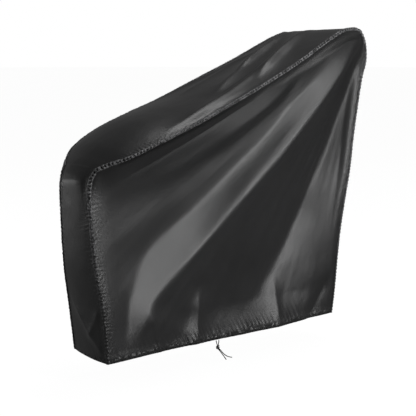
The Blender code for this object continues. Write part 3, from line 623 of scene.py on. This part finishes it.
def sheet_mesh(name, grid, flip, marks):
    """The grid as one surface, with a UV map in metres and a number per point for each mark."""
    rows, columns = grid.shape[:2]
    along = np.linalg.norm(np.diff(grid, axis=0), axis=2).mean(axis=1)
    aside = np.linalg.norm(np.diff(grid, axis=1), axis=2).mean(axis=0)
    along = np.concatenate([[0.0], np.cumsum(along)])
    aside = np.concatenate([[0.0], np.cumsum(aside)])
    index = np.arange(rows * columns).reshape(rows, columns)
    a, b, c, d = index[:-1, :-1], index[1:, :-1], index[1:, 1:], index[:-1, 1:]
    quads = np.stack([a, b, c, d], axis=-1).reshape(-1, 4)
    if flip:
        quads = quads[:, ::-1]
    mesh = bpy.data.meshes.new(name)
    mesh.from_pydata((grid + TO_ROW).reshape(-1, 3).tolist(), [], quads.tolist())
    mesh.shade_smooth()
    flat = np.stack(np.meshgrid(along, aside, indexing="ij"), axis=-1).reshape(-1, 2)
    mesh.uv_layers.new(name="flat").data.foreach_set("uv", flat[quads.ravel()].ravel())
    for mark, values in marks.items():
        layer = mesh.attributes.new(mark, "FLOAT", "POINT")
        layer.data.foreach_set("value", np.ascontiguousarray(values, dtype=np.float32).ravel())
    obj = bpy.data.objects.new(name, mesh)
    bpy.context.scene.collection.objects.link(obj)
    return obj


def seam_frame(seam, panel_ring, gusset_ring):
    """At each seam station: the ways into the panel and into the gusset, square to the seam."""
    along = unit(np.gradient(seam, axis=0))
    return square_to(panel_ring - seam, along), square_to(gusset_ring - seam, along)


def binding(seam, panel_ring, gusset_ring, seed, tight):
    """The tape folded over a seam and drawn in by its stitches, and where the stitches are."""
    runs = np.linalg.norm(np.diff(seam, axis=0), axis=1)
    length = np.concatenate([[0.0], np.cumsum(runs)])
    along = np.linspace(0.0, length[-1], TAPE_STATIONS)
    seam, panel_ring, gusset_ring = (
        np.stack([np.interp(along, length, line[:, k]) for k in range(3)], axis=1)
        for line in (seam, panel_ring, gusset_ring))
    panel_way, gusset_way = seam_frame(seam, panel_ring, gusset_ring)
    off_panel = -square_to(gusset_way, panel_way)
    off_gusset = -square_to(panel_way, gusset_way)
    edge_panel = seam + TAPE_ON_PANEL * panel_way + TAPE_LIFT * off_panel
    edge_gusset = seam + TAPE_ON_GUSSET * gusset_way + TAPE_LIFT * off_gusset
    fold_panel = seam + TAPE_CORNER * (off_panel + TAPE_LEAN * panel_way) * TAPE_BULGE
    fold_gusset = seam + TAPE_CORNER * (off_gusset + TAPE_LEAN * gusset_way) * TAPE_BULGE
    t = np.linspace(0.0, 1.0, TAPE_STRIPS)[None, :, None]
    grid = ((1 - t) ** 3 * edge_panel[:, None] + 3 * (1 - t) ** 2 * t * fold_panel[:, None]
            + 3 * (1 - t) * t ** 2 * fold_gusset[:, None] + t ** 3 * edge_gusset[:, None])
    out = unit((1 - t) * off_panel[:, None] + t * off_gusset[:, None])
    t = t[..., 0]
    zero = np.zeros_like(along)
    drift = along / STITCH_PITCH + STITCH_DRIFT * noise(along / 0.041, zero, seed)
    phase = (drift - np.round(drift)) * STITCH_PITCH
    strength = tight * (0.75 + 0.35 * noise(along / 0.023, zero, seed + 1))
    middle = STITCH_ROW + 0.05 * noise(along / 0.030, zero, seed + 2)
    stitch = ((strength * np.exp(-(phase / (0.5 * STITCH_LENGTH)) ** 2))[:, None]
              * np.exp(-((t - middle[:, None]) / (0.5 * STITCH_WIDTH)) ** 2))
    first_edge, second_edge = (np.exp(-((t - row) / EDGE_ROW_WIDTH) ** 2) for row in EDGE_ROWS)
    edges = first_edge + second_edge
    pull = (strength * np.cos(math.tau * drift))[:, None] * np.sin(math.pi * t)
    risen = smooth((seam[:, 2] - STITCH_FADE_FROM) / STITCH_FADE_OVER)
    stitch *= (STITCH_FADE + (1.0 - STITCH_FADE) * risen)[:, None]
    lift = EDGE_STITCHING * edges - STITCH_DEPTH * stitch - STITCH_ARCH * pull
    lift += TAPE_WAVER * noise(along[:, None] / TAPE_WAVER_LENGTH + 0 * t,
                               TAPE_WAVERS_ACROSS * t + 0 * along[:, None], seed + 3)
    return grid + lift[..., None] * out, stitch


# ---------------------------------------------------------------- materials
# The tape's grey is far lighter than the black tape, to carry painted glints.
CLOTH_GREY, TAPE_GREY_WITH_GLINTS, STRING_GREY = 0.010, 0.090, 0.012
CLOTH_ROUGHNESS = (0.35, 0.40)               # over its patches
CHANNEL_ROUGHNESS = 0.50   # added in the tucks of the hem's channel
SEAM_POLISH = 0.04         # taken off beside the seams
TAPE_ROUGHNESS = (0.40, 0.95)                # between the stitches and in them
# How many cells of noise there are to a metre.
PATCHES, CRINKLES, PUCKERS, TUCKS, TAPE_GLINT_PATCHES = 5.0, 30.0, 95.0, 75.0, 110.0
# Depths of the bumps, in metres.
CRINKLE_DEPTH, PUCKER_DEPTH, THREAD_DEPTH = 0.0030, 0.0050, 0.00005
TAPE_THREAD_DEPTH, BRAID_DEPTH = 0.00015, 0.0003
WEAVE_PITCH = 0.0008
TAPE_WEAVE_PITCH = 0.0010
BRAID_TURNS = 3400.0       # how often the cord's strands cross, in radians to the metre
FAN_TILT = math.radians(45.0)
FAN_STRETCH = 3.3          # how much longer the crinkles are along the fan than across it
# Painted light on the tape between two heights: darker low down, and a painted highlight near the
# top.
Fade = namedtuple("Fade", "bottom top dull bright")
TAPE_LOW_SHADE = Fade(-1.05, -0.55, 0.18, 1.0)
TAPE_TOP_HIGHLIGHT = Fade(-0.45, -0.10, 1.0, 1.5)


class Nodes:
    """A material's node tree, with its Principled shader at hand."""

    def __init__(self, name, roughness, specular):
        self.material = bpy.data.materials.new(name)
        self.material.use_nodes = True
        self.tree = self.material.node_tree
        self.shader = self.tree.nodes["Principled BSDF"]
        self.shader.inputs["Roughness"].default_value = roughness
        self.shader.inputs["Specular IOR Level"].default_value = specular

    def add(self, kind, **inputs):
        """A new node, with each named input linked or set."""
        node = self.tree.nodes.new(kind)
        for name, value in inputs.items():
            self.put(node.inputs[name.replace("_", " ")], value)
        return node

    def put(self, socket, value):
        """Links a node's output to the socket, or sets the socket's number."""
        if isinstance(value, bpy.types.NodeSocket):
            self.tree.links.new(value, socket)
        else:
            socket.default_value = value

    def math(self, operation, first, second=0.0):
        """The result of one operation on two values."""
        node = self.tree.nodes.new("ShaderNodeMath")
        node.operation = operation
        self.put(node.inputs[0], first)
        self.put(node.inputs[1], second)
        return node.outputs[0]

    def noise(self, place, scale, detail=2.0):
        node = self.add("ShaderNodeTexNoise", Scale=scale, Detail=detail)
        self.put(node.inputs["Vector"], place)
        return node.outputs["Fac"]

    def range(self, value, low, high, start, end):
        """Carries the value from low-high to start-end."""
        node = self.add("ShaderNodeMapRange", Value=value)
        for name, number in (("From Min", low), ("From Max", high),
                             ("To Min", start), ("To Max", end)):
            node.inputs[name].default_value = number
        return node.outputs["Result"]

    def grey(self, value):
        """A grey of the value's brightness, set as the shader's colour."""
        node = self.add("ShaderNodeCombineColor")
        for channel, tint in (("Red", 1.0), ("Green", 1.0), ("Blue", 1.03)):
            self.put(node.inputs[channel], self.math("MULTIPLY", value, tint))
        self.put(self.shader.inputs["Base Color"], node.outputs["Color"])

    def bump(self, height, distance, strength, under=None):
        """Lays the height over the bump under it, as the shader's normal."""
        node = self.add("ShaderNodeBump", Strength=strength, Distance=distance, Height=height)
        if under is not None:
            self.put(node.inputs["Normal"], under)
        self.put(self.shader.inputs["Normal"], node.outputs["Normal"])
        return node.outputs["Normal"]

    def mark(self, name):
        """A mesh's own number at each point, as sheet_mesh stores it."""
        node = self.tree.nodes.new("ShaderNodeAttribute")
        node.attribute_name = name
        return node.outputs["Fac"]


def weave(nodes, flat, pitch):
    """Plain weave: rows of threads that pass over and under each other, from -1 to 1."""
    split = nodes.add("ShaderNodeSeparateXYZ")
    nodes.put(split.inputs["Vector"], flat)
    waves = [nodes.math("SINE", nodes.math("MULTIPLY", split.outputs[axis], math.pi / pitch))
             for axis in ("X", "Y")]
    return nodes.math("MULTIPLY", *waves)


def cloth_material():
    """Black coated polyester: a fine plain weave, soft crinkles, and puckers beside the seams, with
    painted shade beside the seams and in the hem's channel.
    """
    nodes = Nodes("cover_cloth", 0.42, 0.50)
    flat = nodes.add("ShaderNodeUVMap")
    flat.uv_map = "flat"
    flat = flat.outputs["UV"]
    place = nodes.add("ShaderNodeTexCoord").outputs["Object"]
    seam, height = nodes.mark("seam"), nodes.mark("height")

    patches = nodes.noise(place, PATCHES, 3.0)
    threads = weave(nodes, flat, WEAVE_PITCH)
    wear = nodes.range(patches, 0.3, 0.7, 0.82, 1.2)
    # Painted shade: the colour darkens beside the seams, where the binding shades the cloth. The
    # patches vary the tone at random.
    shade = nodes.math("MULTIPLY", wear, nodes.range(seam, 0.2, 1.0, CLOTH_GREY, 0.75 * CLOTH_GREY))
    # Painted shade: the colour darkens towards the bottom of the hem's channel, where its tucks lie
    # in shadow.
    channel = nodes.range(height, 0.004, 0.028, 0.45, 1.0)
    tucks = nodes.range(nodes.noise(place, TUCKS, 1.0), 0.42, 0.56, 0.0, 1.0)
    tucks = nodes.math("MAXIMUM", tucks, nodes.range(height, 0.016, 0.030, 0.0, 1.0))
    nodes.grey(nodes.math("MULTIPLY", shade, channel))
    nodes.put(nodes.shader.inputs["Roughness"],
              nodes.math("ADD", nodes.range(patches, 0.3, 0.7, *CLOTH_ROUGHNESS),
                         nodes.math("SUBTRACT",
                                    nodes.range(tucks, 0.0, 1.0, CHANNEL_ROUGHNESS, 0.0),
                                    nodes.range(seam, 0.1, 1.0, 0.0, SEAM_POLISH))))

    stretch = nodes.add("ShaderNodeMapping", Vector=place)
    stretch.vector_type = "TEXTURE"
    stretch.inputs["Rotation"].default_value = (0.0, -FAN_TILT, 0.0)
    stretch.inputs["Scale"].default_value = (FAN_STRETCH, 1.0, 1.0)
    crinkle = nodes.noise(stretch.outputs["Vector"], CRINKLES, 3.0)
    creases = nodes.bump(crinkle, CRINKLE_DEPTH, 0.20)
    drawn_in = nodes.math("MAXIMUM", nodes.range(seam, 0.05, 0.9, 0.0, 1.0),
                          nodes.range(height, 0.010, 0.040, 1.0, 0.0))
    drawn = nodes.math("MULTIPLY", nodes.noise(place, PUCKERS, 2.0), drawn_in)
    puckers = nodes.bump(drawn, PUCKER_DEPTH, 0.60, creases)
    nodes.bump(threads, THREAD_DEPTH, 0.35, puckers)
    return nodes.material


def tape_material():
    """Black woven binding, duller where its stitches draw it in, with painted shade in them.

    Its colour carries painted light: bright patches are painted glints, and it is painted lighter
    towards the top and darker low down.
    """
    nodes = Nodes("seam_tape", 0.42, 0.50)
    flat = nodes.add("ShaderNodeUVMap")
    flat.uv_map = "flat"
    stitch = nodes.mark("stitch")
    place = nodes.add("ShaderNodeTexCoord").outputs["Object"]
    patches = nodes.noise(place, TAPE_GLINT_PATCHES, 1.0)
    # Painted light on the tape: its bright patches are painted glints, and the colour falls nearly
    # to black in the stitches' dimples as painted shade.
    shade = nodes.math("MULTIPLY", nodes.range(patches, 0.40, 0.62, 0.25, 1.8),
                       nodes.range(stitch, 0.10, 0.5, TAPE_GREY_WITH_GLINTS, 0.05 * TAPE_GREY_WITH_GLINTS))
    # Painted light: the tape is painted darker low down and lighter near the top, as the lamps
    # overhead would light it.
    split = nodes.add("ShaderNodeSeparateXYZ", Vector=place)
    painted_light_by_height = nodes.math("MULTIPLY", *(nodes.range(split.outputs["Z"], *fade)
                                    for fade in (TAPE_LOW_SHADE, TAPE_TOP_HIGHLIGHT)))
    nodes.grey(nodes.math("MULTIPLY", shade, painted_light_by_height))
    nodes.put(nodes.shader.inputs["Roughness"], nodes.range(stitch, 0.10, 0.5, *TAPE_ROUGHNESS))
    nodes.bump(weave(nodes, flat.outputs["UV"], TAPE_WEAVE_PITCH), TAPE_THREAD_DEPTH, 0.5)
    return nodes.material


def string_material():
    """Black braided cord, its strands crossing slantwise."""
    nodes = Nodes("drawstring", 0.62, 0.35)
    place = nodes.add("ShaderNodeTexCoord").outputs["Object"]
    split = nodes.add("ShaderNodeSeparateXYZ", Vector=place)
    slants = [nodes.math(way, split.outputs["Z"], split.outputs["X"])
              for way in ("ADD", "SUBTRACT")]
    strands = [nodes.math("SINE", nodes.math("MULTIPLY", slant, BRAID_TURNS)) for slant in slants]
    braid = nodes.math("MAXIMUM", *strands)
    # Painted shade: the colour darkens in the grooves between the strands and lightens on their
    # crests.
    nodes.grey(nodes.range(braid, -1.0, 1.0, 0.5 * STRING_GREY, 1.2 * STRING_GREY))
    nodes.bump(braid, BRAID_DEPTH, 0.5)
    return nodes.material


cloth, tape, string = cloth_material(), tape_material(), string_material()

# ---------------------------------------------------------------- the pieces
SEAM_MARK_REACH = 0.022    # how far from a seam its mark dies away
TAPE_INSET = 3             # grid lines from a seam to the ring that gives the panel's way there
panels = {RIGHT: panel_grid(RIGHT, RIGHT_FOLDS, RIGHT_FAN, PANEL_SEEDS[RIGHT]),
          LEFT: panel_grid(LEFT, LEFT_FOLDS, LEFT_FAN, PANEL_SEEDS[LEFT])}
seams = {side: around(panel, 0) for side, panel in panels.items()}
rings = {side: around(panel, TAPE_INSET) for side, panel in panels.items()}
gusset = gusset_grid(seams[RIGHT], seams[LEFT])


def nearness(grid, edges):
    """From 1 at the seams to 0 a few centimetres away, for each point of the grid."""
    inset = np.min([np.linalg.norm(grid - edge, axis=2) for edge in edges], axis=0)
    return np.exp(-inset / SEAM_MARK_REACH)


for side, name in ((RIGHT, "right"), (LEFT, "left")):
    gusset_ring = gusset[:, 1 if side == RIGHT else -2]
    tape_grid, stitches = binding(seams[side], rings[side], gusset_ring, BINDING_SEEDS[side],
                                  STITCH_PULL[side])
    bound = sheet_mesh(f"binding_{name}", tape_grid, side == LEFT, {"stitch": stitches})
    bound.data.materials.append(tape)
    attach(bound, "root")
    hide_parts(f"seam_binding_{name}")

    panel = panels[side]
    hem = turned_hem(panel[:, 0], np.array([0.0, -side, 0.0]))
    full = np.concatenate([np.stack(hem, axis=1), panel], axis=1)
    seam = nearness(full, (full[:1], full[-1:], full[:, -1:]))
    height = np.clip(full[..., 2] - full[:, len(hem):len(hem) + 1, 2], 0.0, 1.0)
    obj = sheet_mesh(f"panel_{name}", full, side == LEFT, {"seam": seam, "height": height})
    obj.data.materials.append(cloth)
    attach(obj, "root")
    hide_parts(f"side_panel_{name}")

saddle_hem = turned_hem(gusset[0], np.array([1.0, 0.0, 0.0]))
handlebar_hem = turned_hem(gusset[-1], np.array([-1.0, 0.0, 0.0]))
full = np.concatenate([np.stack(saddle_hem), gusset, np.stack(handlebar_hem[::-1])])
seam = nearness(full, (full[:, :1], full[:, -1:]))
obj = sheet_mesh("gusset", full, False, {"seam": seam, "height": full[..., 2] - HEM[0].z})
obj.data.materials.append(cloth)
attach(obj, "root")
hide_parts("gusset_strip")
for item in (tails["a"][0], tails["b"][0], knot):
    item.data.materials.append(string)

# ---------------------------------------------------------------- floor and light
STAGE_RADIUS = 40.0
HEM_ABOVE_FLOOR = 0.085
STAGE_CENTRE = (-0.5, 0.0, float(TO_ROW[2]) - HEM_ABOVE_FLOOR)
FLOOR_SEGMENTS = 96
DOME_SEGMENTS, DOME_RINGS = 64, 32
FLOOR_GREY, FLOOR_GLOW = 0.12, 0.955         # together a pale floor that shows faint shadows
DOME_GREY, DOME_GLOW = 0.0, 1.0
STAGE_ROUGHNESS = 0.9
WORLD_LIGHT = 0.19
LIGHT_AIM = (-0.55, 0.0, -0.60)              # the middle of the cover
# Each softbox faces the aim from its direction and distance. Power is in watts.
Light = namedtuple("Light", "name direction distance size power")
LIGHTS = [
    Light("key", (0.22, -0.92, 0.31), 9.0, (3.2, 3.4), 265.0),
    Light("low", (0.29, -0.955, -0.05), 12.0, (3.4, 2.0), 490.0),
    Light("end", (-0.65, 0.75, 0.05), 4.5, (3.0, 2.0), 30.0),
    Light("seam", (0.583, -0.802, -0.133), 1.49, (0.55, 0.30), 1.7),
    Light("roof", (0.25, 0.05, 0.965), 6.0, (2.0, 2.0), 85.0),
    Light("back", (0.35, 0.93, -0.13), 2.8, (2.4, 0.6), 26.0),
]


def stage_material(name, colour, glow):
    """A plain dull grey that glows, so that it looks evenly pale."""
    material = bpy.data.materials.new(name)
    material.use_nodes = True
    shader = material.node_tree.nodes["Principled BSDF"]
    shader.inputs["Base Color"].default_value = (colour, colour, colour, 1.0)
    shader.inputs["Roughness"].default_value = STAGE_ROUGHNESS
    shader.inputs["Specular IOR Level"].default_value = 0.0
    shader.inputs["Emission Color"].default_value = (1.0, 1.0, 1.0, 1.0)
    shader.inputs["Emission Strength"].default_value = glow
    return material


def stage_piece(name, bm, grey, glow):
    """A piece of the stage from its bmesh, unseen by the light that falls on the cloth."""
    mesh = bpy.data.meshes.new(name)
    bm.to_mesh(mesh)
    bm.free()
    mesh.materials.append(stage_material(name, grey, glow))
    obj = bpy.data.objects.new(name, mesh)
    obj.location = STAGE_CENTRE
    obj.visible_diffuse = False
    obj.visible_glossy = False
    bpy.context.scene.collection.objects.link(obj)
    return obj


def make_stage():
    """A round floor inside a plain dome. Neither throws light back onto the cloth."""
    bm = bmesh.new()
    bmesh.ops.create_circle(bm, cap_ends=True, radius=STAGE_RADIUS, segments=FLOOR_SEGMENTS)
    stage_piece("floor", bm, FLOOR_GREY, FLOOR_GLOW)
    bm = bmesh.new()
    bmesh.ops.create_uvsphere(bm, u_segments=DOME_SEGMENTS, v_segments=DOME_RINGS,
                              radius=STAGE_RADIUS)
    stage_piece("dome", bm, DOME_GREY, DOME_GLOW).visible_shadow = False


def softbox(row):
    """An area light that the camera doesn't see."""
    data = bpy.data.lights.new(row.name, "AREA")
    data.shape = "RECTANGLE"
    data.size, data.size_y = row.size
    data.energy = row.power
    light = bpy.data.objects.new(row.name, data)
    light.visible_camera = False
    way = Vector(row.direction).normalized()
    light.location = Vector(LIGHT_AIM) + way * row.distance
    light.rotation_euler = way.to_track_quat("Z", "Y").to_euler()
    bpy.context.scene.collection.objects.link(light)


world = bpy.data.worlds.new("world")
world.use_nodes = True
world.node_tree.nodes["Background"].inputs["Color"].default_value = (1.0, 1.0, 1.0, 1.0)
world.node_tree.nodes["Background"].inputs["Strength"].default_value = WORLD_LIGHT
bpy.context.scene.world = world
bpy.context.scene.view_settings.view_transform = "Standard"
make_stage()
for light_row in LIGHTS:
    softbox(light_row)
